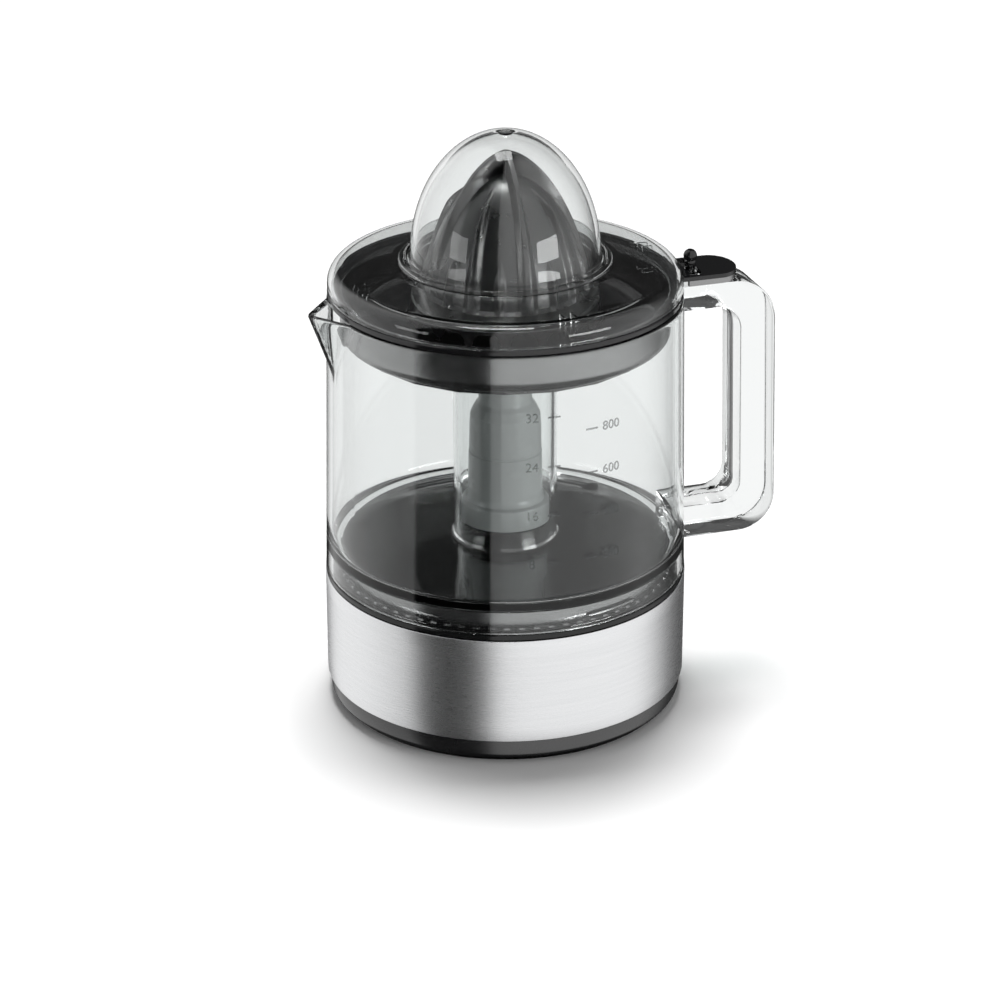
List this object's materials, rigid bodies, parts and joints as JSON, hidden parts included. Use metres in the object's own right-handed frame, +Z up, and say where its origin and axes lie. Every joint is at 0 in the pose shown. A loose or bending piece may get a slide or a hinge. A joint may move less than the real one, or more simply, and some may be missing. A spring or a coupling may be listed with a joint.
{
  "type": "citrus press juicer",
  "caption": "Electric citrus press with a clear jug, spout and handle, a ribbed reamer over a strainer, a domed clear lid and a steel-banded motor base.",
  "frame": {"origin": "on the surface the juicer stands on, under the middle of its bounding box", "axes": "+Z up along the reamer, +X towards the handle, -X towards the spout"},
  "size_m": [0.1928, 0.1446, 0.2355],
  "materials": {
    "rubber": "matt",
    "steel_parts": "machined",
    "black_satin": "satin moulded",
    "black_gloss": "polished moulded",
    "brushed_steel": "brushed round the band",
    "grey_plastic": "satin moulded",
    "nylon": "natural",
    "zinc_plate": "zinc plated",
    "brass": "machined",
    "red_plastic": "moulded",
    "clear_plastic": "clear, polished"
  },
  "bodies": {
    "base": {"rubber_foot_1": "rubber", "rubber_foot_2": "rubber", "rubber_foot_3": "rubber", "rubber_foot_4": "rubber", "bottom_cover": "black_satin", "cover_screw_1": "steel_parts", "cover_screw_2": "steel_parts", "cover_screw_3": "steel_parts", "cover_screw_4": "steel_parts", "steel_band": "brushed_steel", "top_housing": "black_gloss", "tower_sleeve": "grey_plastic", "upper_bush": "nylon", "shaft_seal": "rubber", "cord_gland": "rubber", "gearbox_plate": "zinc_plate", "plate_screw_1": "steel_parts", "plate_screw_2": "steel_parts", "plate_screw_3": "steel_parts", "idler_pin": "steel_parts", "thrust_washer": "nylon", "motor_can": "zinc_plate", "motor_end_cap": "zinc_plate", "stator_ring": "steel_parts", "motor_screw_1": "steel_parts", "motor_screw_2": "steel_parts", "switch_body": "black_satin"},
    "rotor": {"rotor": "steel_parts", "motor_pinion": "brass"},
    "idler": {"compound_gear": "nylon"},
    "drive_gear": {"drive_gear": "nylon", "press_spring": "steel_parts"},
    "spindle": {"spindle": "steel_parts"},
    "switch": {"switch_plunger": "red_plastic"},
    "jug": {"jug": "clear_plastic"},
    "strainer": {"strainer_basket": "black_gloss"},
    "selector": {"pulp_selector": "black_satin", "selector_knob": "black_gloss"},
    "small_reamer": {"small_reamer": "black_gloss"},
    "large_reamer": {"large_reamer": "black_gloss"},
    "lid": {"lid": "clear_plastic"}
  },
  "joints": [
    {"name": "jug_lift", "type": "slide", "parent": "base", "child": "jug", "axis": [0, 0, 1], "range_m": [0, 0.16]},
    {"name": "strainer_lift", "type": "slide", "parent": "jug", "child": "strainer", "axis": [0, 0, 1], "range_m": [0, 0.06]},
    {"name": "lid_lift", "type": "slide", "parent": "strainer", "child": "lid", "axis": [0, 0, 1], "range_m": [0, 0.09]},
    {"name": "selector_turn", "type": "hinge", "parent": "strainer", "child": "selector", "pos_m": [-0.0159, 0, 0.17], "axis": [0, 0, 1], "range_deg": [-5, 5]},
    {"name": "reamer_spin", "type": "hinge", "parent": "strainer", "child": "small_reamer", "pos_m": [-0.0159, 0, 0.17], "axis": [0, 0, 1], "continuous": true},
    {"name": "reamer_press", "type": "slide", "parent": "small_reamer", "child": "large_reamer", "axis": [0, 0, 1], "range_m": [-0.002, 0], "stiffness_N_per_m": 2000, "springref_m": 0.002},
    {"name": "gear_spin", "type": "hinge", "parent": "base", "child": "drive_gear", "pos_m": [-0.0159, 0, 0.04], "axis": [0, 0, 1], "continuous": true},
    {"name": "spindle_press", "type": "slide", "parent": "drive_gear", "child": "spindle", "axis": [0, 0, 1], "range_m": [-0.002, 0], "deforming": ["press_spring"]},
    {"name": "switch_press", "type": "slide", "parent": "base", "child": "switch", "axis": [0, 0, 1], "range_m": [-0.002, 0]},
    {"name": "idler_spin", "type": "hinge", "parent": "base", "child": "idler", "pos_m": [-0.0419, 0, 0.04], "axis": [0, 0, 1], "continuous": true},
    {"name": "rotor_spin", "type": "hinge", "parent": "base", "child": "rotor", "pos_m": [-0.05875, 0.01414, 0.02], "axis": [0, 0, 1], "continuous": true}
  ],
  "couplings": [
    {"joint": "idler_spin", "follows": "rotor_spin", "ratio": -0.29412},
    {"joint": "gear_spin", "follows": "rotor_spin", "ratio": 0.088235},
    {"joint": "reamer_spin", "follows": "rotor_spin", "ratio": 0.088235},
    {"joint": "spindle_press", "follows": "reamer_press", "ratio": 1},
    {"joint": "switch_press", "follows": "reamer_press", "ratio": 1}
  ]
}
